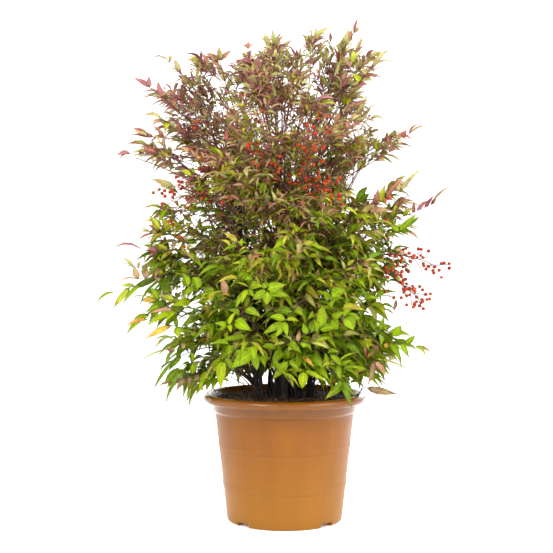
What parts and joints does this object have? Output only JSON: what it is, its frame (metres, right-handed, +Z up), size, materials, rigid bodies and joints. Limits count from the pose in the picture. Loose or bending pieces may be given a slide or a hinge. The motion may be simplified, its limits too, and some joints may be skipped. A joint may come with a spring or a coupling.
{
  "type": "potted shrub",
  "caption": "Heavenly bamboo shrub with upright canes, divided leaves and red berries, standing in a round plastic nursery pot.",
  "frame": {"origin": "centre of the pot's flat underside", "axes": "+Z up along the pot's axis, -Y towards the plant's front, +X to the front view's right"},
  "size_m": [0.6443, 0.5932, 0.939],
  "materials": {
    "pot": "satin terracotta-coloured plastic",
    "compost": "dark, rough, with bark chips",
    "cane": "dark brown ridged bark",
    "stalk": "reddish brown, satin",
    "leaf_green": "glossy leaf",
    "leaf_olive": "glossy leaf",
    "leaf_bronze": "glossy leaf",
    "fruit": "glossy berry"
  },
  "bodies": {
    "root": {"pot": "pot", "compost": "compost", "cane_1": "cane", "cane_2": "cane", "cane_3": "cane", "cane_4": "cane", "cane_5": "cane", "cane_6": "cane", "cane_7": "cane", "stalk_low_1": "stalk", "stalk_low_2": "stalk", "stalk_low_3": "stalk", "stalk_low_4": "stalk", "stalk_low_5": "stalk", "stalk_low_6": "stalk", "stalk_middle_1": "stalk", "stalk_middle_2": "stalk", "stalk_middle_3": "stalk", "stalk_middle_4": "stalk", "stalk_middle_5": "stalk", "stalk_middle_6": "stalk", "leaves_high_1": "leaf_bronze", "leaves_high_2": "leaf_bronze", "leaves_high_3": "leaf_bronze", "leaves_high_4": "leaf_bronze", "leaves_low_1": "leaf_green", "leaves_low_2": "leaf_green", "leaves_low_3": "leaf_green", "leaves_low_4": "leaf_green", "leaves_low_5": "leaf_green", "leaves_low_6": "leaf_green", "leaves_middle_1": "leaf_olive", "leaves_middle_2": "leaf_olive", "leaves_middle_3": "leaf_olive", "leaves_middle_4": "leaf_olive", "leaves_middle_5": "leaf_olive", "leaves_middle_6": "leaf_olive", "leaves_shoulder_1": "leaf_olive", "leaves_shoulder_2": "leaf_olive", "leaves_shoulder_3": "leaf_olive", "leaves_shoulder_4": "leaf_olive", "leaves_shoulder_5": "leaf_olive", "leaves_shoulder_6": "leaf_olive", "leaves_skirt_1": "leaf_green", "leaves_skirt_2": "leaf_green", "leaves_skirt_3": "leaf_green", "leaves_skirt_4": "leaf_green", "leaves_skirt_5": "leaf_green", "leaves_skirt_6": "leaf_green", "leaves_top_1": "leaf_bronze", "leaves_top_2": "leaf_bronze", "leaves_top_3": "leaf_bronze", "leaves_upper_1": "leaf_bronze", "leaves_upper_2": "leaf_bronze", "leaves_upper_3": "leaf_bronze", "leaves_upper_4": "leaf_bronze", "leaves_upper_5": "leaf_bronze", "fruit_left": "fruit", "fruit_middle": "fruit", "fruit_right": "fruit"}
  },
  "joints": []
}
